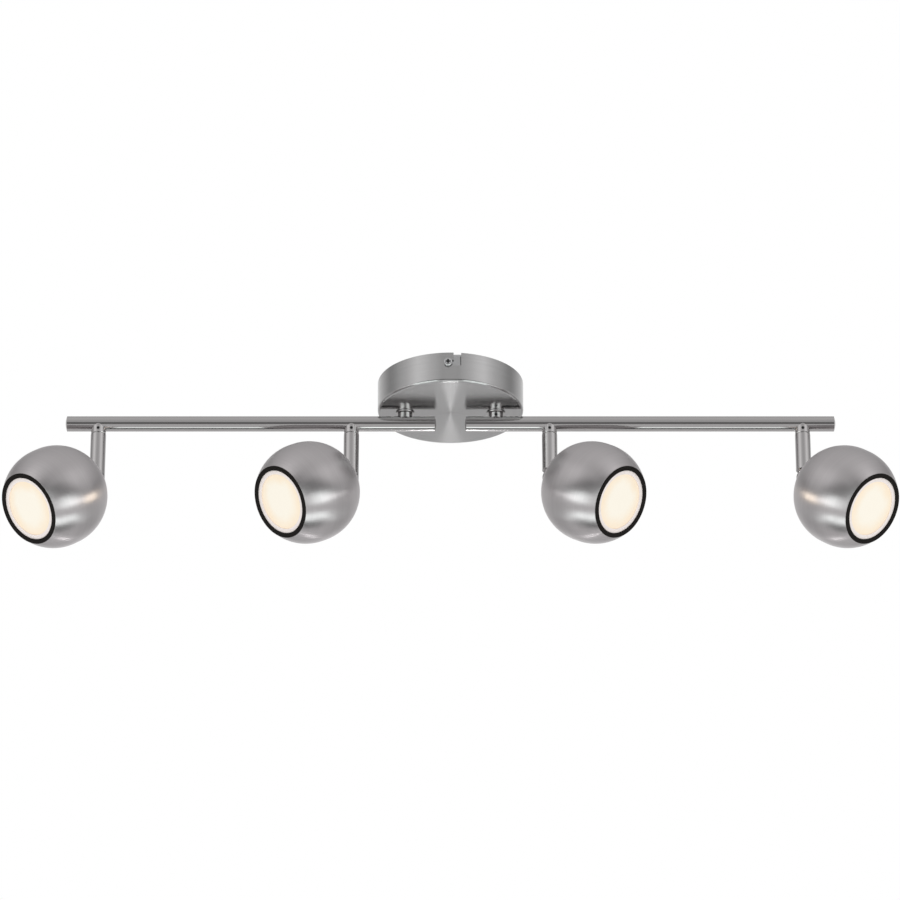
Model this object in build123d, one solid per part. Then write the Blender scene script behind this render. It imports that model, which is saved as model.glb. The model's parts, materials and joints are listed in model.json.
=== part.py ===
from build123d import *
import os
from math import asin, cos, degrees, radians, sin, sqrt, tan

# Ceiling spot bar: a round canopy, two swivelling arms and four ball heads that swivel and tilt.
# Sizes are in millimetres. The origin lies on the ceiling plane at the canopy's centre.
# +Z points up into the ceiling, +X runs along the arms to the right, -Y faces the viewer.

# Canopy, a drawn steel cup that opens towards the ceiling
canopy_diameter = 113.6
canopy_height = 24.4
canopy_wall = 0.8
canopy_edge_radius = 2.0

# Bayonet slots in the canopy's front and back wall, and the side screws that hold it there
side_screw_drop = 8.5
side_screw_offset = -1.9
side_screw_radius = 1.95
side_screw_length = 9.0
side_screw_head_radius = 3.4
side_screw_head_height = 2.4
side_screw_recess_width = 1.1
side_screw_recess_span = 3.8
side_screw_recess_depth = 1.3
slot_clearance = 0.25
slot_entry_width = 5.8
slot_entry_offset = 7.2

# Ceiling bracket, a flat strap with both ends bent down
bracket_width = 18.4
bracket_tab_width = 15.0
bracket_thickness = 1.5
bracket_bend_radius = 1.0
bracket_tab_height = 14.0
bracket_clearance = 0.25
ceiling_slot_spacing = 68.0
ceiling_slot_length = 12.0
ceiling_slot_width = 4.5

# Terminal block under the bracket
pole_spacing = 9.5
pole_count = 3
pole_length = 18.0
pole_width = 8.2
pole_height = 12.0
pole_edge_radius = 2.5
pole_web_length = 13.0
pole_web_height = 5.0
pole_wire_radius = 1.8
terminal_screw_radius = 1.6
terminal_screw_length = 3.6
terminal_screw_offset = 5.0
terminal_slot_width = 0.6
terminal_slot_depth = 0.8
peg_radius = 1.5

# Earth screw on the bracket
earth_screw_offset = 21.0
earth_screw_radius = 2.0
earth_head_radius = 3.4
earth_head_height = 2.4
earth_washer_radius = 4.4
earth_washer_thickness = 0.8

# Insulated leads from the terminal block into the posts
lead_radius = 1.0
lead_gap = 0.3
lead_start = 2.5
lead_bend_offset = 24.0
lead_into_post = 5.0
lead_arc_share = 0.45

# Arms, round tubes with domed plugs in both ends
arm_diameter = 12.0
arm_wall = 1.0
post_offset = 35.4
inner_stem_reach = 41.7
outer_stem_reach = 238.6
arm_inner_overhang = 24.3
arm_outer_overhang = 25.8
plug_length = 6.0
plug_rim = 0.6
plug_dome = 1.2

# Posts and swivels: a hollow spigot turns in a saddle sleeve, held by a grub screw in its groove
spigot_radius = 4.0
spigot_bore_radius = 2.5
spigot_clearance = 0.05
spigot_hole_clearance = 0.25
spigot_inset = 3.2
sleeve_diameter = 11.5
post_show = 3.65
sleeve_show = 3.1
sleeve_edge = 0.3
post_sleeve_foot = 3.8
swivel_gap = 0.4
collar_gap = 0.2
collar_radius = 7.25
collar_thickness = 1.1
collar_edge = 0.3
grub_radius = 1.25
grub_socket_width = 1.3
grub_socket_depth = 1.2
grub_gap = 0.3
grub_recess = 0.3
groove_depth = 0.7
groove_clearance = 0.25
tip_clearance = 0.2
post_nut_width = 13.0
post_nut_height = 3.0
post_thread_rest = 2.0

# Stem, a turned tube with a half-lapped knuckle at its lower end
stem_diameter = 12.0
stem_edge = 0.3
knuckle_radius = 5.2
knuckle_gap = 0.1
lap_clearance = 0.8
relief_height = 14.0
back_taper_height = 3.0
pivot_screw_radius = 1.5
pivot_clearance = 0.05
pivot_head_radius = 2.75
pivot_head_height = 1.7
pivot_head_seat = 3.5
pivot_head_room = 0.1
pivot_slot_width = 0.8
pivot_slot_depth = 0.8
wire_pocket_radius = 3.7
wire_pocket_depth = 2.5
neck_bore_radius = 2.2

# Ball head, a spun shell with a short straight belt between its rear and front domes
ball_radius = 39.0
ball_belt = 3.8
ball_wall = 1.0
rear_flat_radius = 8.0
knuckle_standoff = 5.75
arm_clearance = 0.95
neck_end_thickness = 0.5
neck_thread_rest = 0.8

# Reflector lamp of the two-pin twist type, its black retaining ring and its holder
lamp_diameter = 50.0
lamp_length = 46.5
lamp_rim_length = 7.0
lamp_rim_width = 3.45
lamp_neck_radius = 12.4
lamp_neck_length = 13.0
lens_thickness = 2.0
lens_recess = 0.3
lens_gap = 0.05
lamp_pin_radius = 2.4
lamp_pin_length = 7.0
lamp_pin_spacing = 10.0
pin_clearance = 0.1
ring_lip = 0.25
ring_lip_thickness = 1.1
ring_flange_thickness = 0.8
ring_skirt_wall = 1.55
ring_skirt_length = 9.0
ring_skirt_room = 0.5
ring_edge = 0.35
rim_show = 0.1
holder_radius = 13.0
holder_depth = 11.0
holder_edge = 1.0
carrier_wall = 0.8
carrier_least_height = 6.5
carrier_foot_inset = 0.3
carrier_flange_width = 5.4
holder_screw_radius = 1.4
holder_screw_head_radius = 2.1
holder_screw_head_height = 1.6
holder_screw_depth = 5.0
neck_nut_width = 11.0
neck_nut_height = 2.5

# Clearance between pieces that are pressed, screwed or brazed together
seat = 0.02

# Directions of the heads: turned from the arm's line towards the viewer, and tilted below level
outer_yaw = 37.8
inner_yaw = 35.3
outer_tilt = 35.4
inner_tilt = 30.2

# Sizes and places that follow from the ones above
canopy_radius = canopy_diameter / 2
canopy_inner_radius = canopy_radius - canopy_wall
canopy_floor = canopy_wall - canopy_height
arm_radius = arm_diameter / 2
arm_bore_radius = arm_radius - arm_wall
arm_axis_drop = arm_radius + post_show
arm_axis_z = -canopy_height - arm_axis_drop
arm_outer_reach = outer_stem_reach + arm_outer_overhang
sleeve_radius = sleeve_diameter / 2
sleeve_bore_radius = spigot_radius + spigot_clearance
spigot_hole_radius = spigot_radius + spigot_hole_clearance
sleeve_drop = arm_radius + sleeve_show
post_sleeve_rise = arm_axis_drop - collar_thickness - collar_gap
saddle_rise = sqrt(arm_radius**2 - spigot_hole_radius**2)
grub_reach = saddle_rise + grub_gap + grub_radius
stem_radius = stem_diameter / 2
bracket_half_length = sqrt(canopy_inner_radius**2 - (bracket_width / 2)**2) - bracket_clearance
block_top = -bracket_thickness
wire_hole_z = block_top - pole_height / 2
lamp_radius = lamp_diameter / 2
ring_skirt_inner = lamp_radius + ring_skirt_room
ring_skirt_outer = ring_skirt_inner + ring_skirt_wall
mouth_inner_radius = ring_skirt_outer + seat
ball_inner_radius = ball_radius - ball_wall
mouth_depth = sqrt(ball_inner_radius**2 - mouth_inner_radius**2)
mouth_outer_radius = sqrt(ball_radius**2 - mouth_depth**2)
ring_flange_radius = mouth_outer_radius - rim_show

# Places along a head's axis, measured from its tilt pivot
# The belt grows where the lamp and its holder need more depth than the two domes give them
ball_centre = ball_radius + knuckle_standoff
rear_flat = ball_centre - sqrt(ball_radius**2 - rear_flat_radius**2)
rear_floor = rear_flat + ball_wall
holder_room = carrier_least_height + holder_depth + lamp_length + 4 * seat
mouth_need = rear_floor + holder_room + ring_lip_thickness - ring_flange_thickness
belt = max(ball_belt, mouth_need - mouth_depth - ball_centre)
mouth = ball_centre + belt + mouth_depth
ring_front = mouth + ring_flange_thickness
lamp_front = ring_front - ring_lip_thickness - seat
lamp_back = lamp_front - lamp_length
holder_front = lamp_back - seat
holder_back = holder_front - holder_depth
carrier_back = rear_floor + seat
carrier_front = holder_back - seat
neck_nut_back = carrier_back + carrier_wall + seat
neck_end = neck_nut_back + neck_nut_height + neck_thread_rest

# Places below the arm's axis: a level head just clears the arm above it
pivot_drop = arm_radius + ball_radius + arm_clearance
shoulder_drop = sleeve_drop + swivel_gap

# How a piece stands on its base plane or hangs from it
STANDING = (Align.CENTER, Align.CENTER, Align.MIN)
HANGING = (Align.CENTER, Align.CENTER, Align.MAX)


def rod(radius, low, high):
    """Round bar along Z between two heights."""
    return Pos(0, 0, low) * Cylinder(radius, high - low, align=STANDING)


def rod_x(radius, low, high):
    """Round bar along X between two places."""
    return Rot(0, 90, 0) * rod(radius, low, high)


def rod_y(radius, low, high):
    """Round bar along Y between two places."""
    return Rot(-90, 0, 0) * rod(radius, low, high)


def block(low, high):
    """Box between two opposite corners."""
    size = [b - a for a, b in zip(low, high)]
    return Pos(*low) * Box(*size, align=(Align.MIN, Align.MIN, Align.MIN))


def hexagon(width, low, high):
    """Hexagonal bar along Z, given by its width across flats."""
    outline = RegularPolygon(width / 2, 6, major_radius=False)
    return Pos(0, 0, low) * extrude(outline, high - low)


def turned(points):
    """Solid of revolution about X from a closed outline of (place along X, radius)."""
    return revolve(make_face(Polyline(*points, close=True)), Axis.X)


def group(solids, name):
    """One node of one or more separate solids."""
    return Compound(label=name, children=list(solids))


def bayonet_cut():
    """L-shaped cut in the front wall: an entry from the rim and a leg that ends at the screw."""
    leg_half = side_screw_radius + slot_clearance
    wall_from = -canopy_radius - canopy_wall
    wall_to = -sqrt(canopy_inner_radius**2 - (slot_entry_offset + slot_entry_width)**2) + canopy_wall
    entry_left = side_screw_offset + slot_entry_offset - slot_entry_width / 2
    entry_right = entry_left + slot_entry_width
    leg_bottom = -side_screw_drop - leg_half
    entry = block((entry_left, wall_from, leg_bottom), (entry_right, wall_to, canopy_wall))
    leg_top = -side_screw_drop + leg_half
    leg = block((side_screw_offset, wall_from, leg_bottom), (entry_right, wall_to, leg_top))
    end = Pos(side_screw_offset, 0, -side_screw_drop) * rod_y(leg_half, wall_from, wall_to)
    return entry + leg + end


def make_canopy():
    """Cup with a rounded lower edge, two post holes and two bayonet slots."""
    edge = canopy_radius - canopy_edge_radius
    bend = canopy_edge_radius - canopy_height
    outline = [
        Line((0, -canopy_height), (edge, -canopy_height)),
        CenterArc((edge, bend), canopy_edge_radius, -90, 90),
        Line((canopy_radius, bend), (canopy_radius, 0)),
        Line((canopy_radius, 0), (canopy_inner_radius, 0)),
        Line((canopy_inner_radius, 0), (canopy_inner_radius, bend)),
        CenterArc((edge, bend), canopy_edge_radius - canopy_wall, 0, -90),
        Line((edge, canopy_floor), (0, canopy_floor)),
        Line((0, canopy_floor), (0, -canopy_height)),
    ]
    cup = revolve(Plane.XZ * make_face(outline), Axis.Z)
    for side in (-1, 1):
        hole = rod(spigot_hole_radius, -canopy_height - 1, canopy_floor + 1)
        cup -= Pos(side * post_offset, 0, 0) * hole
    cup -= bayonet_cut()
    cup -= Rot(0, 0, 180) * bayonet_cut()
    return cup


def make_bracket():
    """Strap with narrower bent ends, tapped for the side screws, and slots for the ceiling screws."""
    outer = Box(bracket_width, 2 * bracket_half_length, bracket_tab_height, align=HANGING)
    outer_bends = outer.edges().filter_by(Axis.X).group_by(Axis.Z)[-1]
    outer = fillet(outer_bends, bracket_bend_radius + bracket_thickness)
    inner_length = 2 * (bracket_half_length - bracket_thickness)
    inner = Box(2 * bracket_width, inner_length, bracket_tab_height, align=HANGING)
    inner_bends = inner.edges().filter_by(Axis.X).group_by(Axis.Z)[-1]
    inner = fillet(inner_bends, bracket_bend_radius)
    strap = outer - Pos(0, 0, -bracket_thickness) * inner
    slot = extrude(Rot(0, 0, 90) * SlotOverall(ceiling_slot_length, ceiling_slot_width),
                   bracket_thickness, both=True)
    for side in (-1, 1):
        strap -= Pos(0, side * ceiling_slot_spacing / 2, 0) * slot
        strap -= Pos(0, side * pole_spacing / 2, 0) * rod(peg_radius + seat, -2 * bracket_thickness, 1)
    relief_top = -bracket_thickness - bracket_bend_radius
    relief = block((bracket_tab_width / 2, -bracket_half_length, -bracket_tab_height),
                   (bracket_width, bracket_half_length, relief_top))
    tapping = rod_y(side_screw_radius + seat, -2 * bracket_half_length, 0)
    for turn in (0, 180):
        strap -= Rot(0, 0, turn) * relief
        strap -= Rot(0, 0, turn) * Pos(side_screw_offset, 0, -side_screw_drop) * tapping
    strap -= Pos(0, earth_screw_offset, 0) * rod(earth_screw_radius + seat, -2 * bracket_thickness, 1)
    return strap


def make_side_screw():
    """Pan-head screw of the front slot, with a cross recess in its head."""
    head_seat = -canopy_radius - seat
    shank = rod_y(side_screw_radius, head_seat, head_seat + side_screw_length)
    head = rod_y(side_screw_head_radius, head_seat - side_screw_head_height, head_seat)
    front_edge = head.edges().filter_by(GeomType.CIRCLE).group_by(Axis.Y)[0]
    head = fillet(front_edge, side_screw_head_height / 2)
    face = head_seat - side_screw_head_height
    half_span = side_screw_recess_span / 2
    half_width = side_screw_recess_width / 2
    bar = block((-half_span, face - 1, -half_width), (half_span, face + side_screw_recess_depth, half_width))
    head -= bar + Rot(0, 90, 0) * bar
    return Pos(side_screw_offset, 0, -side_screw_drop) * (shank + head)


def pole_places():
    """Places of the terminal's poles along Y."""
    first = -pole_spacing * (pole_count - 1) / 2
    return [first + i * pole_spacing for i in range(pole_count)]


def make_terminal_block():
    """Row of insulated barrels on a common web, with wire holes, screw wells and two pegs."""
    body = Box(pole_web_length, pole_spacing * (pole_count - 1), pole_web_height, align=HANGING)
    for place in pole_places():
        barrel = Box(pole_length, pole_width, pole_height, align=HANGING)
        lower = barrel.edges().filter_by(Axis.X).group_by(Axis.Z)[0]
        body += Pos(0, place, 0) * fillet(lower, pole_edge_radius)
    for side in (-1, 1):
        body += Pos(0, side * pole_spacing / 2, 0) * rod(peg_radius, 0, bracket_thickness - 5 * seat)
    for place in pole_places():
        body -= Pos(0, place, -pole_height / 2) * rod_x(pole_wire_radius, -pole_length, pole_length)
        for side in (-1, 1):
            well = rod(terminal_screw_radius + seat, -2 * pole_height, -pole_height / 2)
            body -= Pos(side * terminal_screw_offset, place, 0) * well
    return Pos(0, 0, block_top - seat) * body


def make_terminal_screws():
    """Slotted clamp screws, one above each wire end."""
    tip = wire_hole_z - lead_radius - tip_clearance
    screw = rod(terminal_screw_radius, tip - terminal_screw_length, tip)
    half = terminal_slot_width / 2
    low = tip - terminal_screw_length
    screw -= block((-2 * terminal_screw_radius, -half, low - 1),
                   (2 * terminal_screw_radius, half, low + terminal_slot_depth))
    places = [(side * terminal_screw_offset, place) for place in pole_places() for side in (-1, 1)]
    return [Pos(x, y, 0) * screw for x, y in places]


def make_earth_screw():
    """Slotted screw with a washer, up through the bracket."""
    top = -bracket_thickness - seat
    washer = rod(earth_washer_radius, top - earth_washer_thickness, top)
    head_top = top - earth_washer_thickness
    head = rod(earth_head_radius, head_top - earth_head_height, head_top)
    low = head_top - earth_head_height
    half = terminal_slot_width / 2
    head -= block((-2 * earth_head_radius, -half, low - 1),
                  (2 * earth_head_radius, half, low + terminal_slot_depth))
    shank = rod(earth_screw_radius, head_top, -5 * seat)
    return Pos(0, earth_screw_offset, 0) * (washer + head + shank)


def spigot_groove(height):
    """Ring to cut from a spigot, where the tip of its grub screw runs."""
    half = grub_radius + groove_clearance
    outer = rod(2 * spigot_radius, height - half, height + half)
    return outer - rod(spigot_radius - groove_depth, height - half, height + half)


def make_post_nipple():
    """Hollow threaded post: nut above the canopy's floor, groove in the arm's sleeve."""
    top = canopy_floor + post_nut_height + post_thread_rest
    low = arm_axis_z + spigot_inset
    post = rod(spigot_radius, low, top) - rod(spigot_bore_radius, low, top)
    return post - spigot_groove(arm_axis_z + grub_reach)


def make_post_nut():
    """Hexagon nut on the canopy's floor."""
    low = canopy_floor + seat
    nut = hexagon(post_nut_width, low, low + post_nut_height)
    return nut - rod(spigot_radius + seat, low, low + post_nut_height)


def make_post_collar():
    """Thin washer with broken edges between the canopy and the arm's sleeve."""
    top = -canopy_height - seat
    disc = rod(collar_radius, top - collar_thickness, top)
    disc = chamfer(disc.edges().filter_by(GeomType.CIRCLE), collar_edge)
    return disc - rod(spigot_radius + seat, top - collar_thickness, top)


def make_lead(side, pole):
    """Insulated wire from a pole of the terminal block down into a post, with tangent bends."""
    start = (side * lead_start, pole * pole_spacing, wire_hole_z)
    bend = (side * lead_bend_offset, pole * pole_spacing, wire_hole_z)
    beside = lead_radius + lead_gap / 2
    over_post = (side * post_offset, pole * beside, wire_hole_z)
    post_top = canopy_floor + post_nut_height + post_thread_rest
    in_post = (side * post_offset, pole * beside, post_top - lead_into_post)
    points = [Vector(*p) for p in (start, bend, over_post, in_post)]
    runs = [b - a for a, b in zip(points, points[1:])]
    radii = []
    for before, after in zip(runs, runs[1:]):
        half_turn = radians(before.get_angle(after)) / 2
        radii.append(lead_arc_share * min(before.length, after.length) / tan(half_turn))
    route = FilletPolyline(*points, radius=radii)
    print("lead bends", [round(r, 1) for r in radii], "length", round(route.length, 1))
    section = Plane(route @ 0, z_dir=route % 0) * Circle(lead_radius)
    return sweep(section, path=route)


def make_arm_tube():
    """Arm of the right side, along +X from its post at the origin of its frame."""
    cap = plug_rim + plug_dome
    tube = rod_x(arm_radius, cap - arm_inner_overhang, arm_outer_reach - cap)
    tube -= rod_x(arm_bore_radius, -arm_inner_overhang, arm_outer_reach)
    tube -= rod(spigot_hole_radius, 0, arm_diameter)
    for reach in (inner_stem_reach, outer_stem_reach):
        tube -= Pos(reach, 0, 0) * rod(spigot_hole_radius, -arm_diameter, 0)
    return tube


def make_plug():
    """Domed end plug: the tip of its dome points to +X and lies at the origin of its frame."""
    dome_radius = (arm_radius**2 + plug_dome**2) / (2 * plug_dome)
    half_angle = asin(arm_radius / dome_radius) / 2
    centre = -dome_radius
    middle = (centre + dome_radius * cos(half_angle), dome_radius * sin(half_angle))
    rim_front = -plug_dome
    rim_back = rim_front - plug_rim
    back = rim_back - plug_length
    inner = arm_bore_radius - seat
    outline = [
        Line((back, 0), (back, inner)),
        Line((back, inner), (rim_back, inner)),
        Line((rim_back, inner), (rim_back, arm_radius)),
        Line((rim_back, arm_radius), (rim_front, arm_radius)),
        ThreePointArc((rim_front, arm_radius), middle, (0, 0)),
        Line((0, 0), (back, 0)),
    ]
    return revolve(make_face(outline), Axis.X)


def make_sleeve(foot, length):
    """Sleeve that stands on the arm at the origin, saddle-cut to it, with a grub hole in front."""
    sleeve = rod(sleeve_radius, foot, length)
    sleeve = chamfer(sleeve.edges().group_by(Axis.Z)[-1], sleeve_edge)
    sleeve -= rod(sleeve_bore_radius, 0, length)
    sleeve -= rod_x(arm_radius + seat, -arm_diameter, arm_diameter)
    return sleeve - Pos(0, 0, grub_reach) * rod_y(grub_radius + seat, -arm_diameter, 0)


def make_grub():
    """Socket set screw in a sleeve's front, its tip in the spigot's groove."""
    outer = -sleeve_radius + grub_recess
    tip = -(spigot_radius - groove_depth + tip_clearance)
    socket = Rot(-90, 0, 0) * hexagon(grub_socket_width, outer, outer + grub_socket_depth)
    return Pos(0, 0, grub_reach) * (rod_y(grub_radius, outer, tip) - socket)


def make_stem():
    """Stem in its own frame: swivel axis on Z, tilt pivot at the origin, the head towards +X."""
    shoulder = pivot_drop - shoulder_drop
    spigot_top = pivot_drop - spigot_inset
    lap_top = knuckle_radius + lap_clearance
    body = rod(stem_radius, 0, shoulder)
    body = chamfer(body.edges().group_by(Axis.Z)[-1], stem_edge)
    body += rod_y(knuckle_radius, -stem_radius, stem_radius) & rod(stem_radius, -stem_diameter, 0)
    body += rod(spigot_radius, shoulder, spigot_top)
    body -= spigot_groove(pivot_drop - grub_reach)
    body -= block((-stem_diameter, -stem_diameter, -stem_diameter), (stem_diameter, knuckle_gap, lap_top))
    for reach, height in ((1, relief_height), (-1, back_taper_height)):
        slope = Polyline(
            (reach * knuckle_radius, 0),
            (reach * stem_radius, height),
            (reach * stem_diameter, height),
            (reach * stem_diameter, 0),
            close=True,
        )
        body -= extrude(Plane.XZ * make_face(slope), stem_diameter, both=True)
    wire_end = pivot_screw_radius + neck_bore_radius / 2
    body -= rod(spigot_bore_radius, wire_end, spigot_top)
    body -= rod_y(pivot_screw_radius + pivot_clearance, 0, stem_diameter)
    body -= rod_y(pivot_head_radius + pivot_head_room, pivot_head_seat - pivot_head_room, stem_diameter)
    return body


def make_knuckle():
    """Head half of the tilt joint: a rounded cheek, a neck and a hollow thread into the shell."""
    cheek = rod_y(knuckle_radius, -stem_radius, -knuckle_gap) & Sphere(stem_radius)
    neck = rod_x(knuckle_radius, 0, rear_flat - seat)
    neck -= block((-stem_diameter, -knuckle_gap, -stem_diameter),
                  (rear_flat - neck_end_thickness, stem_diameter, stem_diameter))
    thread = rod_x(spigot_radius, rear_flat - neck_end_thickness, neck_end)
    body = cheek + neck + thread
    body -= rod_y(wire_pocket_radius, -wire_pocket_depth, 0)
    body -= rod_x(neck_bore_radius, pivot_screw_radius + neck_bore_radius / 2, neck_end)
    return body - rod_y(pivot_screw_radius + seat, -stem_diameter, 0)


def make_pivot_screw():
    """Slotted screw on the tilt axis, through the stem's cheek into the head's cheek."""
    end = -sqrt(stem_radius**2 - pivot_screw_radius**2) + pivot_slot_depth
    face = pivot_head_seat + pivot_head_height
    screw = rod_y(pivot_screw_radius, end, pivot_head_seat)
    screw += rod_y(pivot_head_radius, pivot_head_seat, face)
    half = pivot_slot_width / 2
    return screw - block((-stem_radius, face - pivot_slot_depth, -half), (stem_radius, face + 1, half))


def make_shell():
    """Spun ball shell along +X: flat seat at the rear, two domes, a belt and an open mouth."""
    front_centre = ball_centre + belt
    hole = spigot_radius + seat
    rear_angle = 180 - degrees(asin(rear_flat_radius / ball_radius))
    floor_depth = ball_centre - rear_floor
    floor_radius = sqrt(ball_inner_radius**2 - floor_depth**2)
    floor_angle = 180 - degrees(asin(floor_radius / ball_inner_radius))
    mouth_angle = degrees(asin(mouth_outer_radius / ball_radius))
    mouth_inner_angle = degrees(asin(mouth_inner_radius / ball_inner_radius))
    outline = [
        Line((rear_flat, hole), (rear_flat, rear_flat_radius)),
        CenterArc((ball_centre, 0), ball_radius, rear_angle, 90 - rear_angle),
        Line((ball_centre, ball_radius), (front_centre, ball_radius)),
        CenterArc((front_centre, 0), ball_radius, 90, mouth_angle - 90),
        Line((mouth, mouth_outer_radius), (mouth, mouth_inner_radius)),
        CenterArc((front_centre, 0), ball_inner_radius, mouth_inner_angle, 90 - mouth_inner_angle),
        Line((front_centre, ball_inner_radius), (ball_centre, ball_inner_radius)),
        CenterArc((ball_centre, 0), ball_inner_radius, 90, floor_angle - 90),
        Line((rear_floor, floor_radius), (rear_floor, hole)),
        Line((rear_floor, hole), (rear_flat, hole)),
    ]
    return revolve(make_face(outline), Axis.X)


def make_front_ring():
    """Black retaining ring: a flange on the shell's edge, a skirt in its mouth, a lip over the lamp."""
    lip_radius = lamp_radius - ring_lip
    lip_back = ring_front - ring_lip_thickness
    skirt_back = mouth - ring_skirt_length
    ring = turned([
        (skirt_back, ring_skirt_inner),
        (lip_back, ring_skirt_inner),
        (lip_back, lip_radius),
        (ring_front, lip_radius),
        (ring_front, ring_flange_radius),
        (mouth + seat, ring_flange_radius),
        (mouth + seat, ring_skirt_outer),
        (skirt_back, ring_skirt_outer),
    ])
    front_edges = ring.edges().filter_by(GeomType.CIRCLE).group_by(Axis.X)[-1]
    return fillet(front_edges, ring_edge)


def make_lamp_body():
    """Reflector lamp along +X: contact pins, a neck, a flared body and a rim round its lens."""
    bowl = lamp_front - lens_recess - lens_thickness - lens_gap
    lens_seat = lamp_radius - lamp_rim_width
    body = turned([
        (lamp_back, 0),
        (lamp_back, lamp_neck_radius),
        (lamp_back + lamp_neck_length, lamp_neck_radius),
        (lamp_front - lamp_rim_length, lamp_radius),
        (lamp_front, lamp_radius),
        (lamp_front, lens_seat),
        (bowl, lens_seat),
        (bowl, 0),
    ])
    for side in (-1, 1):
        pin = rod_x(lamp_pin_radius, lamp_back - lamp_pin_length, lamp_back)
        body += Pos(0, 0, side * lamp_pin_spacing / 2) * pin
    return body


def make_lamp_lens():
    """Round diffuser with a softened front edge, set in the lamp's rim."""
    radius = lamp_radius - lamp_rim_width - lens_gap
    front = lamp_front - lens_recess
    lens = rod_x(radius, front - lens_thickness, front)
    return fillet(lens.edges().group_by(Axis.X)[-1], lens_thickness / 4)


def holder_screw_place():
    """Distance of the holder's screws from the head's axis."""
    return holder_radius - holder_screw_head_radius


def make_lamp_holder():
    """Lamp holder with two pin wells in front and two screw holes behind."""
    holder = rod_x(holder_radius, holder_back, holder_front)
    holder = chamfer(holder.edges().filter_by(GeomType.CIRCLE), holder_edge)
    well_end = lamp_back - lamp_pin_length - pin_clearance
    for side in (-1, 1):
        well = rod_x(lamp_pin_radius + pin_clearance, well_end, holder_front)
        holder -= Pos(0, 0, side * lamp_pin_spacing / 2) * well
        hole = rod_x(holder_screw_radius + seat, holder_back, holder_back + holder_screw_depth)
        holder -= Pos(0, side * holder_screw_place(), 0) * hole
    return holder


def make_holder_carrier():
    """Pressed hat between the shell's rear and the lamp holder: foot, sloped wall and flange."""
    floor_depth = ball_centre - rear_floor
    foot = sqrt(ball_inner_radius**2 - floor_depth**2) - carrier_foot_inset
    flange = holder_radius - holder_edge
    shoulder = holder_radius - carrier_flange_width
    hole = spigot_radius + seat
    hat = turned([
        (carrier_back, hole),
        (carrier_back, foot),
        (carrier_front - carrier_wall, shoulder + carrier_wall),
        (carrier_front - carrier_wall, flange),
        (carrier_front, flange),
        (carrier_front, shoulder),
        (carrier_back + carrier_wall, foot - carrier_wall / 2),
        (carrier_back + carrier_wall, hole),
    ])
    for side in (-1, 1):
        hole_x = rod_x(holder_screw_radius + seat, carrier_back, carrier_front)
        hat -= Pos(0, side * holder_screw_place(), 0) * hole_x
    return hat


def make_neck_fixings():
    """Nut on the neck's thread and two screws that hold the lamp holder on its carrier."""
    nut = Rot(0, 90, 0) * hexagon(neck_nut_width, neck_nut_back, neck_nut_back + neck_nut_height)
    nut -= rod_x(spigot_radius + seat, neck_nut_back, neck_nut_back + neck_nut_height)
    head_front = carrier_front - carrier_wall - seat
    screw = rod_x(holder_screw_head_radius, head_front - holder_screw_head_height, head_front)
    screw += rod_x(holder_screw_radius, head_front, holder_back + holder_screw_depth - seat)
    return [nut] + [Pos(0, side * holder_screw_place(), 0) * screw for side in (-1, 1)]


# Where each head hangs: its arm's side, its reach along the arm, and its yaw and tilt
spots = {
    "left_outer": (-1, outer_stem_reach, outer_yaw, outer_tilt),
    "left_inner": (-1, inner_stem_reach, inner_yaw, inner_tilt),
    "right_inner": (1, inner_stem_reach, inner_yaw, inner_tilt),
    "right_outer": (1, outer_stem_reach, outer_yaw, outer_tilt),
}

nodes = {
    "mounting_bracket": [make_bracket()],
    "canopy": [make_canopy()],
    "canopy_screws": [Rot(0, 0, turn) * make_side_screw() for turn in (0, 180)],
    "terminal_block": [make_terminal_block()],
    "terminal_screws": make_terminal_screws(),
    "earth_screw": [make_earth_screw()],
    "post_nipples": [Pos(side * post_offset, 0, 0) * make_post_nipple() for side in (-1, 1)],
    "post_nuts": [Pos(side * post_offset, 0, 0) * make_post_nut() for side in (-1, 1)],
    "post_collars": [Pos(side * post_offset, 0, 0) * make_post_collar() for side in (-1, 1)],
    "live_leads": [make_lead(side, 1) for side in (-1, 1)],
    "neutral_leads": [make_lead(side, -1) for side in (-1, 1)],
}

# Arms: the left one is the right one turned half a turn, with its stems' grub screws kept in front
for name, side in (("left", -1), ("right", 1)):
    post = Pos(side * post_offset, 0, arm_axis_z)
    turn = Rot(0, 0, 90 - 90 * side)
    reaches = [side * inner_stem_reach, side * outer_stem_reach]
    hung = Rot(0, 180, 0)
    nodes[name + "_arm_tube"] = [post * turn * make_arm_tube()]
    nodes[name + "_arm_end_caps"] = [
        post * turn * Pos(arm_outer_reach, 0, 0) * make_plug(),
        post * turn * Pos(-arm_inner_overhang, 0, 0) * Rot(0, 0, 180) * make_plug(),
    ]
    nodes[name + "_arm_sleeves"] = [post * turn * make_sleeve(post_sleeve_foot, post_sleeve_rise)] + [
        post * Pos(reach, 0, 0) * hung * make_sleeve(0, sleeve_drop) for reach in reaches
    ]
    nodes[name + "_arm_grub_screws"] = [post * turn * make_grub()] + [
        post * Pos(reach, 0, 0) * hung * make_grub() for reach in reaches
    ]

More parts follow.
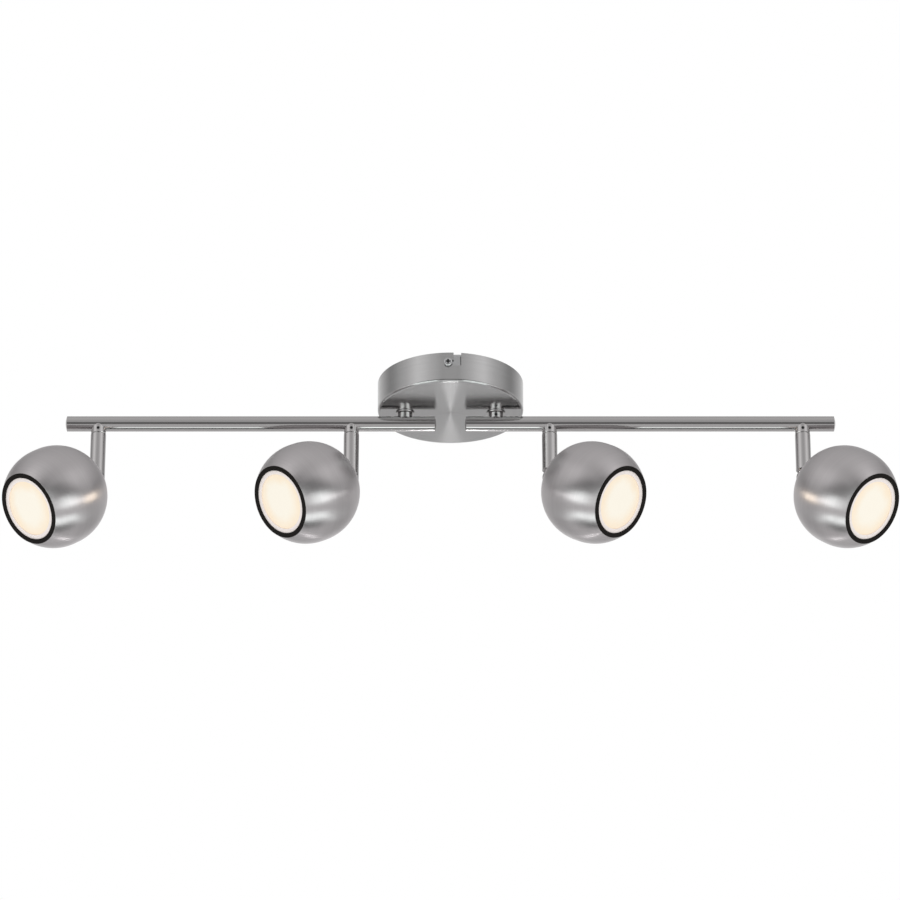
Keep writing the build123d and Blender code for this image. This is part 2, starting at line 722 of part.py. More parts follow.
# Stems and heads: a stem turns about its own axis, its head tilts about the pivot at its lower end
for name, (side, reach, yaw, tilt) in spots.items():
    heading = -yaw if side > 0 else 180 + yaw
    pivot = Pos(side * (post_offset + reach), 0, arm_axis_z - pivot_drop) * Rot(0, 0, heading)
    head = pivot * Rot(0, tilt, 0)
    nodes[name + "_stem"] = [pivot * make_stem()]
    nodes[name + "_knuckle"] = [head * make_knuckle()]
    nodes[name + "_pivot_screw"] = [head * make_pivot_screw()]
    nodes[name + "_shell"] = [head * make_shell()]
    nodes[name + "_front_ring"] = [head * make_front_ring()]
    nodes[name + "_lamp_body"] = [head * make_lamp_body()]
    nodes[name + "_lamp_lens"] = [head * make_lamp_lens()]
    nodes[name + "_lamp_holder"] = [head * make_lamp_holder()]
    nodes[name + "_holder_carrier"] = [head * make_holder_carrier()]
    nodes[name + "_neck_fixings"] = [head * piece for piece in make_neck_fixings()]

os.makedirs("parts", exist_ok=True)
for name, solids in nodes.items():
    export_step(group(solids, name), "parts/" + name + ".step")
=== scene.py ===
import json
from math import acos, asin, cos, degrees, hypot, pi, radians, sin, sqrt

import bpy
from mathutils import Matrix, Quaternion, Vector


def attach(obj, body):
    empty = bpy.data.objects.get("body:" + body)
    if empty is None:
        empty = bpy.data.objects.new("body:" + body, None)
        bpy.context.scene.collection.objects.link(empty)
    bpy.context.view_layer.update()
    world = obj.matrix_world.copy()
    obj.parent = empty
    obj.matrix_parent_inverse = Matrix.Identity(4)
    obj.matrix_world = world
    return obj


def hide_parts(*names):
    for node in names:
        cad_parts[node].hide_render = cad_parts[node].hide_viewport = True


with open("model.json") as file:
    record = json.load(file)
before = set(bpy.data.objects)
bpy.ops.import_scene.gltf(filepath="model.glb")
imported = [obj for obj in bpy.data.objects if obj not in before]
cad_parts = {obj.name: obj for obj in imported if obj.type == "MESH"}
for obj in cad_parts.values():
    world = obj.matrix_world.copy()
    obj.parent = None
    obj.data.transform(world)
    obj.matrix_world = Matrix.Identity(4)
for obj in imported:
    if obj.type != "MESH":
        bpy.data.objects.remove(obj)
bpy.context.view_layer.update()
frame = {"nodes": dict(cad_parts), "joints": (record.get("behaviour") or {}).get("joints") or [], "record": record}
nodes = frame["nodes"]
scene = bpy.context.scene

MM = 0.001

# Heads: yaw from the arm's line towards the viewer and tilt below level, in degrees, and their pivots
SPOTS = ("left_outer", "left_inner", "right_inner", "right_outer")
YAW = {"outer": 37.8, "inner": 35.3}
TILT = {"outer": 35.4, "inner": 30.2}
PIVOT = {j["child"]: Vector(j["pos_m"]) for j in frame["joints"]}

# Ball shell along its head's axis, in millimetres from the tilt pivot, as in the solid
BALL_RADIUS = 39.0
BALL_WALL = 1.0
BALL_BELT = 3.8
BALL_CENTRE = 44.75
REAR_FLAT_RADIUS = 8.0
REAR_HOLE_RADIUS = 4.02
MOUTH_INNER_RADIUS = 27.07
EDGE_BREAK = 0.06
INNER_RADIUS = BALL_RADIUS - BALL_WALL
FRONT_CENTRE = BALL_CENTRE + BALL_BELT
MOUTH_DEPTH = sqrt(INNER_RADIUS ** 2 - MOUTH_INNER_RADIUS ** 2)
MOUTH = FRONT_CENTRE + MOUTH_DEPTH

# Lamp face, in millimetres: it lies a little behind the shell's mouth, with a low crown and a round edge
LENS_RADIUS = 21.5
LENS_THICKNESS = 2.0
LENS_SET_BACK = 0.62
LENS_CROWN = 0.25
LENS_EDGE = 0.5

# Steps of the lathed meshes: round the axis, on the shell's four arcs, on the lamp face's edge and crown
TURNS = 256
REAR_STEPS = 48
FRONT_STEPS = 36
INNER_FRONT_STEPS = 20
INNER_REAR_STEPS = 24
EDGE_STEPS = 6
CROWN_STEPS = 12

# What a lathed mesh keeps for its look: place in the head's own frame, length along the outline in
# millimetres, and a map that runs round the axis
OWN_PLACE = "own_place"
ALONG = "along"
TURN_MAP = "turn"

# Looks of metal: colours, relief in metres and its strength, changes of tone and gloss, lines to a metre
CANOPY_NICKEL = (0.45, 0.445, 0.445)
BALL_NICKEL = (0.495, 0.470, 0.476)
TUBE_NICKEL = (0.47, 0.455, 0.455)
TUBE_ROUGHNESS = 0.10
TUBE_CONTRAST = 0.06
RELIEF = 0.00002
BRUSH_BUMP = 0.12
TUBE_BUMP = 0.04
BRUSH_CONTRAST = 0.10
METAL_GLOSS_CHANGE = 0.10
QUARTER_TURN = 0.25
STREAK_ACROSS, STREAK_ROUND = 1600, 14
HAIR_ACROSS, HAIR_ROUND = 9000, 40
DRAWN_ACROSS, DRAWN_ALONG = 1500, 20
METAL_GRAIN = 1800.0

# Looks of moulded and frosted pieces: relief in metres, change of gloss, size of the clouds against the grain
GRAIN_RELIEF = 0.00005
GRAIN_GLOSS_CHANGE = 0.15
CLOUD_SHARE = 0.08

# Side screws, in millimetres: place beside and below the canopy's top middle, reach of the cross recess;
# then the plate's dull share, its grain, what the painted recess shade leaves of its colour, and the heads' face
# in metres
SCREW_OFFSET = 1.9
SCREW_DROP = 8.5
# Painted shade: each head's cross recess is darkened within this reach and depth
RECESS_RADIUS = 2.0
RECESS_BLUR = 0.05
RECESS_SHALLOW = 0.05
RECESS_DEEP = 0.3
SCREW_DULL = 0.86
SCREW_GRAIN = 300.0
# Painted shade: share of the plate's colour left inside the cross recess
SCREW_RECESS_SHADE = 0.03
SCREW_FACE = max(abs(corner[1]) for corner in nodes["canopy_screws"].bound_box)

# Lit lamp face: glow, size of the cream middle and its uneven edge in millimetres, frosted ground
LENS_GLOW = 0.69
LENS_CREAM = 11.0
LENS_CLOUD = 10.0
LENS_CLOUD_SCALE = 70.0
LENS_ROUGHNESS = 0.45
FROST_SCALE = 900.0
FROST_BUMP = 0.08
FROST_DARK = (0.24, 0.235, 0.22)
FROST_PALE = (0.28, 0.275, 0.26)

# Stage, in metres: a floor well below, and a dark card below the object that the metal mirrors
FLOOR_DROP = 4.5
FLOOR_RADIUS = 7.5
FLOOR_SIDES = 96
CARD_PLACE = (0, 0.19, -1.25)
CARD_SIZE = (1.1, 0.38)

# Soft lights: name, place, target, size and radiance; those of the right side stand on the left too, and
# carry a turn about their own axis in degrees
COOL_WHITE = (0.90, 1.0, 0.97)
PLAIN_WHITE = (1.0, 1.0, 1.0)
MIDDLE_LIGHTS = (
    ("under_strip", (0, -0.19, -1.30), (0, -0.19, 0), (1.6, 0.38), 0.8),
    ("under_core", (0, -0.19, -1.27), (0, -0.19, 0), (0.36, 0.36), 0.7),
)
SIDE_LIGHTS = (
    ("front_strip", (2.55, -2.476, -1.932), (2.55, 0, -0.1), (3.2, 1.6), 1.5, 0),
    ("under_end", (0.60, -0.19, -1.28), (0.60, -0.19, 0), (0.44, 0.38), 1.1, 0),
    ("under_wing", (1.05, 0.24, -1.30), (0.6, 0.24, -0.1), (1.1, 0.26), 0.9, 25),
)
BACK_LIGHT = ("back_spot", (0, 1.145, -1.146), (0, 0, -0.03), (0.07, 0.10), 24.0)

# Light of the four lamps themselves: gap in front of the mouth in millimetres, size in metres
LAMP_LIGHT_GAP = 1.3
LAMP_LIGHT_SIZE = (0.036, 0.036)
LAMP_LIGHT_RADIANCE = 5.0
LAMP_WARMTH = (1.0, 0.86, 0.66)

# Studio that the metal mirrors, as (angle in degrees, level): first by the angle about X, up from straight
# ahead, then by the angle to either side of straight ahead
STUDIO = (
    (-180, 1.00), (-174, 0.80), (-166, 0.64), (-140, 0.62), (-120, 0.70), (-32, 0.72), (-24, 0.45),
    (-20, 0.20), (-4, 0.20), (3, 0.45), (10, 0.72), (20, 0.74), (64, 0.74), (85, 0.70), (100, 0.64),
    (113, 0.57), (128, 0.52), (138, 0.66), (150, 0.95), (160, 1.00), (180, 1.00),
)
SIDES = (
    (0, 0.82), (13, 0.84), (22, 1.00), (32, 1.15), (42, 1.37), (54, 1.50), (64, 1.27), (75, 1.02),
    (87, 0.88), (100, 0.80), (117, 0.72), (130, 0.74), (145, 0.76), (160, 0.86), (172, 1.00), (180, 1.00),
)
# Height of the mirrored direction over which the change by sides fades out
SIDES_FADE = (0.50, 0.85)
# A bright stripe at the far sides and a dark dip off the middle, by the angle about X, and where each starts
# and is full, in degrees to the side
STRIPE = ((-180, 0.0), (-50.5, 0.0), (-44.5, 1.3), (-32.5, 1.3), (-26.5, 0.0), (180, 0.0))
STRIPE_SPAN = (52, 62)
DIP = (
    (-180, 0.0), (-8, 0.0), (-2, 0.12), (2, 0.29), (6, 0.36), (10, 0.32), (18, 0.05), (24, 0.0), (180, 0.0),
)
DIP_SPAN = (5, 12)
# White that lights what is not metal, and white behind the object
AMBIENT = 0.9
BACKGROUND = 1.0

# Camera at the photo's angle, in metres, millimetres and degrees: below the ceiling, looking up
CAMERA_PLACE = (-0.0004, -3.5175, -1.7079)
CAMERA_PITCH = 115.15
CAMERA_LENS = 200
CAMERA_SENSOR = 36


def head_matrix(spot):
    """Place of a head's own frame: X along its axis, Y along its tilt axis."""
    side, place = spot.split("_")
    heading = 180 + YAW[place] if side == "left" else -YAW[place]
    turned = Matrix.Translation(PIVOT[spot + "_head"]) @ Matrix.Rotation(radians(heading), 4, "Z")
    return turned @ Matrix.Rotation(radians(TILT[place]), 4, "Y")


def arc(centre, radius, start, end, count):
    """Points (place, radius) on an arc about a centre on the axis; angles in degrees from the front."""
    steps = [radians(start + (end - start) * i / count) for i in range(count + 1)]
    return [(centre + radius * cos(a), radius * sin(a)) for a in steps]


def lathe(name, outline, sharp):
    """Closed surface of revolution about X; sharp holds the outline's corners that stay crisp."""
    lengths = [0.0]
    for (x0, r0), (x1, r1) in zip(outline, outline[1:] + outline[:1]):
        lengths.append(lengths[-1] + hypot(x1 - x0, r1 - r0))
    verts = []
    rings = []
    stations = []
    for k, (x, r) in enumerate(outline):
        count = TURNS if r > 0 else 1
        first = len(verts)
        angles = [2 * pi * i / TURNS for i in range(count)]
        verts += [(x * MM, r * MM * cos(a), r * MM * sin(a)) for a in angles]
        rings.append([first + i % count for i in range(TURNS + 1)])
        stations += [k] * count
    faces = []
    chart = []
    for k in range(len(outline)):
        here, there = rings[k], rings[(k + 1) % len(outline)]
        low, high = lengths[k] / lengths[-1], lengths[k + 1] / lengths[-1]
        for i in range(TURNS):
            near, far = i / TURNS, (i + 1) / TURNS
            corners = {
                here[i]: (near, low),
                there[i]: (near, high),
                there[i + 1]: (far, high),
                here[i + 1]: (far, low),
            }
            if len(corners) > 2:
                faces.append(list(corners))
                chart += corners.values()
    mesh = bpy.data.meshes.new(name)
    mesh.from_pydata(verts, [], faces)
    mesh.polygons.foreach_set("use_smooth", [True] * len(mesh.polygons))
    along = mesh.attributes.new(ALONG, "FLOAT", "POINT")
    along.data.foreach_set("value", [lengths[k] for k in stations])
    own = mesh.attributes.new(OWN_PLACE, "FLOAT_VECTOR", "POINT")
    own.data.foreach_set("vector", [c for vert in verts for c in vert])
    turn = mesh.uv_layers.new(name=TURN_MAP)
    turn.data.foreach_set("uv", [c for corner in chart for c in corner])
    for edge in mesh.edges:
        a, b = edge.vertices
        if stations[a] == stations[b] and stations[a] in sharp:
            edge.use_edge_sharp = True
    return mesh


def shell_mesh():
    """Spun ball: rear seat, two domes with a belt, a broken edge at the mouth, and the inner wall."""
    mouth_outer = sqrt(BALL_RADIUS ** 2 - MOUTH_DEPTH ** 2)
    rear_flat = BALL_CENTRE - sqrt(BALL_RADIUS ** 2 - REAR_FLAT_RADIUS ** 2)
    rear_floor = rear_flat + BALL_WALL
    floor_radius = sqrt(INNER_RADIUS ** 2 - (BALL_CENTRE - rear_floor) ** 2)
    rear_angle = 180 - degrees(asin(REAR_FLAT_RADIUS / BALL_RADIUS))
    mouth_angle = degrees(asin((mouth_outer + EDGE_BREAK / 2) / BALL_RADIUS))
    floor_angle = 180 - degrees(asin(floor_radius / INNER_RADIUS))
    inner_angle = degrees(acos(MOUTH_DEPTH / INNER_RADIUS))
    outline = [(rear_flat, REAR_HOLE_RADIUS)]
    outline += arc(BALL_CENTRE, BALL_RADIUS, rear_angle, 90, REAR_STEPS)
    outline += arc(FRONT_CENTRE, BALL_RADIUS, 90, mouth_angle, FRONT_STEPS)
    edge = len(outline)
    outline.append((MOUTH, mouth_outer - EDGE_BREAK))
    outline += arc(FRONT_CENTRE, INNER_RADIUS, inner_angle, 90, INNER_FRONT_STEPS)
    outline += arc(BALL_CENTRE, INNER_RADIUS, 90, floor_angle, INNER_REAR_STEPS)
    floor_hole = len(outline)
    outline.append((rear_floor, REAR_HOLE_RADIUS))
    return lathe("ball_shell", outline, (0, 1, edge - 1, edge, edge + 1, floor_hole - 1, floor_hole))


def lens_mesh():
    """Lamp face: a slightly crowned disc with a rounded front edge."""
    front = MOUTH - LENS_SET_BACK
    back = front - LENS_THICKNESS
    flat = LENS_RADIUS - LENS_EDGE
    round_centre = front - LENS_CROWN - LENS_EDGE
    outline = [(back, 0), (back, LENS_RADIUS)]
    for a in [radians(90 * i / EDGE_STEPS) for i in range(EDGE_STEPS + 1)]:
        outline.append((round_centre + LENS_EDGE * sin(a), flat + LENS_EDGE * cos(a)))
    for t in [i / CROWN_STEPS for i in range(1, CROWN_STEPS + 1)]:
        outline.append((front - LENS_CROWN * (1 - t) ** 2, flat * (1 - t)))
    return lathe("lens_disc", outline, (1,))


class Nodes:
    """A node tree with short calls for what the looks and the world below need."""

    def __init__(self, tree):
        self.tree = tree
        self.shader = tree.nodes.get("Principled BSDF")

    def node(self, kind, **settings):
        new = self.tree.nodes.new(kind)
        for key, value in settings.items():
            setattr(new, key, value)
        return new

    def link(self, source, target):
        self.tree.links.new(source, target)

    def feed(self, sockets, values):
        """Sets plain numbers on sockets and links the rest."""
        for socket, value in zip(sockets, values):
            if isinstance(value, (int, float)):
                socket.default_value = value
            else:
                self.link(value, socket)

    def math(self, operation, *values):
        new = self.node("ShaderNodeMath", operation=operation)
        self.feed(new.inputs, values)
        return new.outputs[0]

    def length(self, a, b):
        """Length of a vector with two parts."""
        squares = [self.math("MULTIPLY", part, part) for part in (a, b)]
        return self.math("SQRT", self.math("ADD", *squares))

    def noise(self, vector, scale=1.0, detail=2.0, roughness=0.5):
        new = self.node("ShaderNodeTexNoise")
        sockets = [new.inputs[k] for k in ("Scale", "Detail", "Roughness", "Vector")]
        self.feed(sockets, (scale, detail, roughness, vector))
        return new.outputs["Fac"]

    def combine(self, *values):
        new = self.node("ShaderNodeCombineXYZ")
        self.feed(new.inputs, values)
        return new.outputs[0]

    def split(self, vector):
        new = self.node("ShaderNodeSeparateXYZ")
        self.link(vector, new.inputs[0])
        return new.outputs[0], new.outputs[1], new.outputs[2]

    def coords(self, kind="Object"):
        return self.node("ShaderNodeTexCoord").outputs[kind]

    def attribute(self, name, output):
        """What a lathed mesh keeps under a name."""
        return self.node("ShaderNodeAttribute", attribute_name=name).outputs[output]

    def spread(self, value, low, high, start=0.0, end=1.0, smooth=False):
        """Maps a value from start..end to low..high."""
        kind = "SMOOTHSTEP" if smooth else "LINEAR"
        new = self.node("ShaderNodeMapRange", interpolation_type=kind)
        self.feed(new.inputs, (value, start, end, low, high))
        return new.outputs["Result"]

    def blend(self, value, low, high):
        """Colour between two colours."""
        new = self.node("ShaderNodeMix", data_type="RGBA")
        colours = [socket for socket in new.inputs if socket.type == "RGBA"]
        colours[0].default_value = (*low, 1)
        colours[1].default_value = (*high, 1)
        self.link(value, new.inputs["Factor"])
        return [socket for socket in new.outputs if socket.type == "RGBA"][0]

    def ramp(self, value, stops):
        """Levels along 0..1, given as (place, level)."""
        top = max(level for _, level in stops)
        new = self.node("ShaderNodeValToRGB")
        elements = new.color_ramp.elements
        elements.remove(elements[1])
        for i, (place, level) in enumerate(stops):
            stop = elements[0] if i == 0 else elements.new(place)
            stop.position = place
            stop.color = (level / top, level / top, level / top, 1)
        self.link(value, new.inputs["Fac"])
        return self.math("MULTIPLY", new.outputs["Color"], top)

    def bump(self, height, strength, distance):
        new = self.node("ShaderNodeBump")
        sockets = [new.inputs[k] for k in ("Strength", "Distance", "Height")]
        self.feed(sockets, (strength, distance, height))
        self.link(new.outputs[0], self.shader.inputs["Normal"])

    def set(self, **values):
        """Feeds inputs of the material's shader, named in lower case."""
        for key, value in values.items():
            name = key.replace("_", " ").title().replace("Ior", "IOR")
            self.feed([self.shader.inputs[name]], [value])


def new_look(name):
    """A new material and the node helper on its tree."""
    material = bpy.data.materials.new(name)
    material.use_nodes = True
    return material, Nodes(material.node_tree)


def shade(colour, factor):
    return tuple(c * factor for c in colour)


def tones(look, value, colour, change):
    """A colour that varies with a value, by a share to either side."""
    return look.blend(value, shade(colour, 1 - change), shade(colour, 1 + change))


def finish_metal(look, tone, streak, fine, rough, bump):
    """Common end of the metals: streaks vary the gloss, fine lines give a low relief."""
    gloss = look.spread(streak, rough * (1 + METAL_GLOSS_CHANGE), rough * (1 - METAL_GLOSS_CHANGE))
    look.set(base_color=tone, roughness=gloss, metallic=1.0)
    look.bump(fine, bump, RELIEF)


def ring_lines(look, along, across, count, count_round):
    """Coordinates for lines that run in circles: close along the outline, long round the axis."""
    parts = [look.math("MULTIPLY", along, count)]
    parts += [look.math("MULTIPLY", c, count_round) for c in across]
    return look.combine(*parts)


def brushed_metal(name, colour, rough, anisotropy, lathed):
    """Satin plate brushed in circles about the axis of a lathed ball, or about the canopy's Z axis."""
    material, look = new_look(name)
    if lathed:
        _, y, z = look.split(look.attribute(OWN_PLACE, "Vector"))
        along = look.math("MULTIPLY", look.attribute(ALONG, "Fac"), MM)
        across = (y, z)
        tangent = look.node("ShaderNodeTangent", direction_type="UV_MAP", uv_map=TURN_MAP)
    else:
        x, y, z = look.split(look.coords())
        along = look.math("SUBTRACT", look.length(x, y), z)
        across = (x, y)
        tangent = look.node("ShaderNodeTangent", direction_type="RADIAL", axis="Z")
    streaks = ring_lines(look, along, across, STREAK_ACROSS, STREAK_ROUND)
    hairs = ring_lines(look, along, across, HAIR_ACROSS, HAIR_ROUND)
    streak = look.noise(streaks, detail=4.0, roughness=0.65)
    fine = look.noise(hairs, detail=2.0, roughness=0.6)
    finish_metal(look, tones(look, streak, colour, BRUSH_CONTRAST), streak, fine, rough, BRUSH_BUMP)
    look.set(tangent=tangent.outputs[0], anisotropic=anisotropy, anisotropic_rotation=QUARTER_TURN)
    return material


def tube_metal(name, colour, rough, contrast, lines):
    """Plate with faint lines, so many to a metre along X, Y and Z, and a fine grain."""
    material, look = new_look(name)
    coords = look.coords()
    drawn = [look.math("MULTIPLY", c, count) for c, count in zip(look.split(coords), lines)]
    streak = look.noise(look.combine(*drawn), detail=3.0, roughness=0.6)
    fine = look.noise(coords, METAL_GRAIN)
    finish_metal(look, tones(look, streak, colour, contrast), streak, fine, rough, TUBE_BUMP)
    return material


def screw_metal(name, colour, rough):
    """Zinc plate of the side screws, with painted shade darkening the cross recess of each head."""
    material, look = new_look(name)
    coords = look.coords()
    x, y, z = look.split(coords)
    across = look.math("SUBTRACT", x, look.math("MULTIPLY", look.math("SIGN", y), SCREW_OFFSET * MM))
    up = look.math("ADD", z, SCREW_DROP * MM)
    radius = look.length(across, up)
    # Painted shade: a mask near each head's middle and below its face darkens the plate in the cross recess
    near = look.spread(radius, 1.0, 0.0, RECESS_RADIUS * MM, (RECESS_RADIUS + RECESS_BLUR) * MM)
    deep_from, deep_to = SCREW_FACE - RECESS_DEEP * MM, SCREW_FACE - RECESS_SHALLOW * MM
    deep = look.spread(look.math("ABSOLUTE", y), 1.0, 0.0, deep_from, deep_to)
    streak = look.noise(coords, SCREW_GRAIN, detail=3.0, roughness=0.6)
    fine = look.noise(coords, METAL_GRAIN)
    tone_and_recess_shade = look.math("SUBTRACT", look.spread(streak, SCREW_DULL, 1.0), look.math("MULTIPLY", near, deep))
    finish_metal(look, look.blend(tone_and_recess_shade, shade(colour, SCREW_RECESS_SHADE), colour), streak, fine, rough, TUBE_BUMP)
    return material


def moulded(name, colour, rough, grain, relief, variety=0.06, gloss=0.5):
    """Moulded or fired material with a fine even grain and slight changes of tone."""
    material, look = new_look(name)
    coords = look.coords()
    cloud = look.noise(coords, grain * CLOUD_SHARE, detail=3.0, roughness=0.55)
    fine = look.noise(coords, grain, detail=2.0, roughness=0.6)
    sheen = look.spread(fine, rough * (1 - GRAIN_GLOSS_CHANGE), rough * (1 + GRAIN_GLOSS_CHANGE))
    tone = tones(look, cloud, colour, variety)
    look.set(base_color=tone, roughness=sheen, specular_ior_level=gloss)
    look.bump(fine, relief, GRAIN_RELIEF)
    return material


def lit_lens(name, middle, rim):
    """Lit opal diffuser: cream in the middle, warmer towards its rim, with a fine frosted grain."""
    material, look = new_look(name)
    place = look.attribute(OWN_PLACE, "Vector")
    _, y, z = look.split(place)
    frost = look.noise(place, FROST_SCALE, detail=2.0, roughness=0.6)
    cloud = look.noise(place, LENS_CLOUD_SCALE)
    uneven = look.math("MULTIPLY", look.math("SUBTRACT", cloud, 0.5), LENS_CLOUD * MM)
    reach = look.math("ADD", look.length(y, z), uneven)
    warmth = look.spread(reach, 0.0, 1.0, LENS_CREAM * MM, LENS_RADIUS * MM, smooth=True)
    look.set(emission_color=look.blend(warmth, middle, rim), emission_strength=LENS_GLOW)
    look.set(base_color=look.blend(frost, FROST_DARK, FROST_PALE), roughness=LENS_ROUGHNESS)
    look.bump(frost, FROST_BUMP, GRAIN_RELIEF)
    return material


# Looks by the record's material slots. Metals: colour, roughness, contrast and lines; moulded: colour,
# roughness, grain to a metre, relief, variety and gloss
TUBE_FINISH = (TUBE_NICKEL, TUBE_ROUGHNESS, TUBE_CONTRAST)
ALONG_X = (DRAWN_ALONG, DRAWN_ACROSS, DRAWN_ACROSS)
ALONG_Z = (DRAWN_ACROSS, DRAWN_ACROSS, DRAWN_ALONG)
LOOKS = {
    "satin_nickel": brushed_metal("canopy_nickel", CANOPY_NICKEL, 0.150, 1.0, lathed=False),
    "polished_nickel": tube_metal("tube_nickel", *TUBE_FINISH, ALONG_X),
    "zinc_steel": tube_metal("zinc_plate", (0.50, 0.50, 0.505), 0.22, 0.10, (300, 300, 300)),
    "dark_steel": tube_metal("blackened_steel", (0.10, 0.10, 0.10), 0.40, 0.15, (400, 400, 400)),
    "brass": tube_metal("plain_brass", (0.72, 0.53, 0.25), 0.28, 0.08, (300, 300, 300)),
    "black_ring": moulded("satin_black", (0.0064, 0.0048, 0.0040), 0.42, 1500.0, 0.15, 0.2, 0.11),
    "lamp_plastic": moulded("lamp_white", (0.88, 0.79, 0.765), 0.35, 900.0, 0.05, 0.02),
    "lamp_glow": lit_lens("lamp_face", (1.0, 0.92, 0.78), (1.0, 0.80, 0.56)),
    "holder_ceramic": moulded("white_ceramic", (0.85, 0.84, 0.80), 0.55, 700.0, 0.2, 0.04),
    "terminal_plastic": moulded("natural_nylon", (0.84, 0.84, 0.81), 0.42, 800.0, 0.1, 0.03),
    "brown_lead": moulded("brown_insulation", (0.19, 0.085, 0.040), 0.42, 1200.0, 0.1, 0.12),
    "blue_lead": moulded("blue_insulation", (0.045, 0.20, 0.48), 0.42, 1200.0, 0.1, 0.12),
}
BALL_LOOK = brushed_metal("ball_nickel", BALL_NICKEL, 0.33, 0.76, lathed=True)
SCREW_LOOK = screw_metal("screw_zinc", (0.56, 0.56, 0.565), 0.22)
STEM_LOOK = tube_metal("stem_nickel", *TUBE_FINISH, ALONG_Z)

for part in frame["record"]["subparts"]:
    look = LOOKS[part["material_slot"]]
    if part["node"].endswith("_stem"):
        look = STEM_LOOK
    if part["node"] == "canopy_screws":
        look = SCREW_LOOK
    for material_slot in nodes[part["node"]].material_slots:
        material_slot.material = look


def add_object(name, data):
    """New object in the scene."""
    new = bpy.data.objects.new(name, data)
    scene.collection.objects.link(new)
    return new


# Shells and lamp faces, in place of the solids' own
shared_shell = shell_mesh()
shared_shell.materials.append(BALL_LOOK)
shared_lens = lens_mesh()
shared_lens.materials.append(LOOKS["lamp_glow"])


def add_piece(name, shape, spot, node):
    """New piece at a head's place that stands for a CAD node of that head."""
    mesh = shape.copy()
    mesh.transform(head_matrix(spot))
    piece = add_object(name, mesh)
    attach(piece, spot + "_head")
    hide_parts(node)


for spot in SPOTS:
    add_piece(spot + "_ball", shared_shell, spot, spot + "_shell")
    add_piece(spot + "_face", shared_lens, spot, spot + "_lamp_lens")


def flat_face(name, corners, look):
    """One flat face of the stage."""
    mesh = bpy.data.meshes.new(name)
    mesh.from_pydata(corners, [], [tuple(range(len(corners)))])
    mesh.materials.append(look)
    return add_object(name, mesh)


floor_angles = [2 * pi * i / FLOOR_SIDES for i in range(FLOOR_SIDES)]
floor_rim = [(FLOOR_RADIUS * cos(a), FLOOR_RADIUS * sin(a), -FLOOR_DROP) for a in floor_angles]
floor_look = moulded("pale_floor", (0.80, 0.80, 0.80), 0.8, 30.0, 0.02, 0.01)
floor = flat_face("floor", floor_rim, floor_look)

x, y, z = CARD_PLACE
half_x, half_y = CARD_SIZE[0] / 2, CARD_SIZE[1] / 2
card_corners = [(x + i * half_x, y + j * half_y, z) for i, j in ((-1, -1), (1, -1), (1, 1), (-1, 1))]
card_look = moulded("dark_card_cloth", (0.02, 0.02, 0.02), 0.9, 200.0, 0.1, 0.1)
card = flat_face("dark_card", card_corners, card_look)
card.visible_camera = False
card.visible_shadow = False


def soft_light(name, place, target, size, radiance, turn=0, colour=COOL_WHITE):
    """Area light of an even radiance towards a target, turned about its own axis by some degrees."""
    light = bpy.data.lights.new(name, "AREA")
    light.shape = "RECTANGLE"
    light.size, light.size_y = size
    light.energy = radiance * pi * size[0] * size[1]
    light.color = colour
    lamp = add_object(name, light)
    lamp.location = place
    aim = (Vector(target) - Vector(place)).to_track_quat("-Z", "Y")
    lamp.rotation_euler = (aim @ Quaternion((0, 0, 1), radians(turn))).to_euler()
    lamp.visible_camera = False
    return lamp


for row in MIDDLE_LIGHTS:
    soft_light(*row)
for side in (-1, 1):
    for name, place, target, size, radiance, turn in SIDE_LIGHTS:
        place, target = [(side * point[0], *point[1:]) for point in (place, target)]
        soft_light(name, place, target, size, radiance, side * turn)
soft_light(*BACK_LIGHT, colour=PLAIN_WHITE)

# Light of the lamps, which the next ball mirrors
for spot in SPOTS:
    place = head_matrix(spot) @ Vector(((MOUTH + LAMP_LIGHT_GAP) * MM, 0, 0))
    beam = head_matrix(spot).to_3x3() @ Vector((1, 0, 0))
    glow = soft_light(
        spot + "_light", place, place + beam, LAMP_LIGHT_SIZE, LAMP_LIGHT_RADIANCE, colour=LAMP_WARMTH
    )
    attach(glow, spot + "_head")

# World: white for the camera, an even light for what is not metal, and the studio in what the metal mirrors
world = bpy.data.worlds.new("studio")
scene.world = world
world.use_nodes = True
world.node_tree.nodes.clear()
sky = Nodes(world.node_tree)


def by_rise(stops):
    """Levels by the angle about X."""
    return sky.ramp(rise, [((angle + 180) / 360, level) for angle, level in stops])


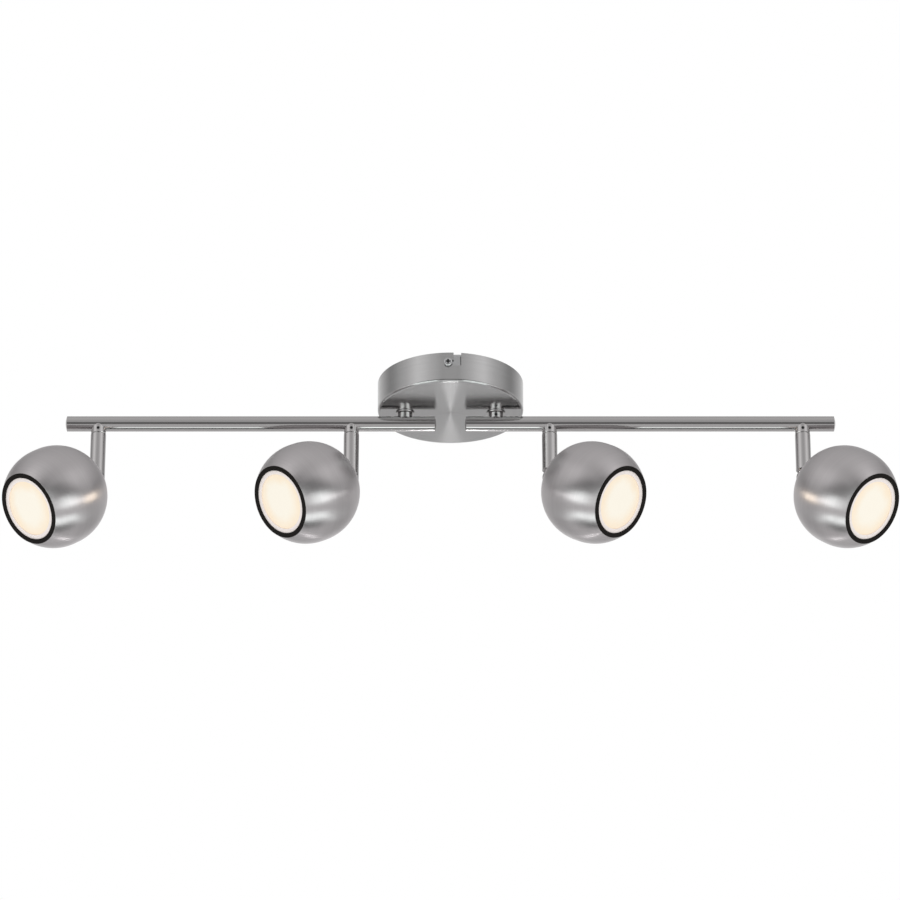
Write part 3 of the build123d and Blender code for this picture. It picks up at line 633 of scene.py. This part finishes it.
def beyond(span):
    """From nothing to full over a span of angles to the side."""
    return sky.spread(aside, 0.0, 1.0, span[0] / 180, span[1] / 180, smooth=True)


def backdrop(strength):
    """Plain white background of a strength, which may be linked."""
    new = sky.node("ShaderNodeBackground")
    new.inputs["Color"].default_value = (1, 1, 1, 1)
    sky.feed([new.inputs["Strength"]], [strength])
    return new.outputs[0]


def choose(factor, off, on):
    new = sky.node("ShaderNodeMixShader")
    sky.feed(new.inputs, (factor, off, on))
    return new.outputs[0]


x, y, z = sky.split(sky.coords("Generated"))
ahead = sky.math("MULTIPLY", y, -1)
rise = sky.spread(sky.math("ARCTAN2", z, ahead), 0.0, 1.0, -pi, pi)
aside = sky.spread(sky.math("ABSOLUTE", sky.math("ARCTAN2", x, ahead)), 0.0, 1.0, 0.0, pi)
level = sky.math("SUBTRACT", by_rise(STUDIO), sky.math("MULTIPLY", by_rise(DIP), beyond(DIP_SPAN)))
side_change = sky.math("SUBTRACT", 1.0, sky.ramp(aside, [(angle / 180, share) for angle, share in SIDES]))
low = sky.spread(z, 1.0, 0.0, *SIDES_FADE, smooth=True)
side_level = sky.math("SUBTRACT", 1.0, sky.math("MULTIPLY", side_change, low))
stripe = sky.math("MULTIPLY", by_rise(STRIPE), beyond(STRIPE_SPAN))
studio = sky.math("ADD", sky.math("MULTIPLY", level, side_level), stripe)

rays = sky.node("ShaderNodeLightPath").outputs
mirrored = sky.math("MAXIMUM", rays["Is Glossy Ray"], rays["Is Transmission Ray"])
seen = choose(mirrored, backdrop(AMBIENT), backdrop(studio))
seen = choose(rays["Is Camera Ray"], seen, backdrop(BACKGROUND))
sky.link(seen, sky.node("ShaderNodeOutputWorld").inputs["Surface"])

camera_data = bpy.data.cameras.new("camera")
camera_data.sensor_width = CAMERA_SENSOR
camera_data.lens = CAMERA_LENS
camera = add_object("camera", camera_data)
camera.location = CAMERA_PLACE
camera.rotation_euler = (radians(CAMERA_PITCH), 0, 0)
scene.camera = camera

scene.view_settings.view_transform = "Standard"
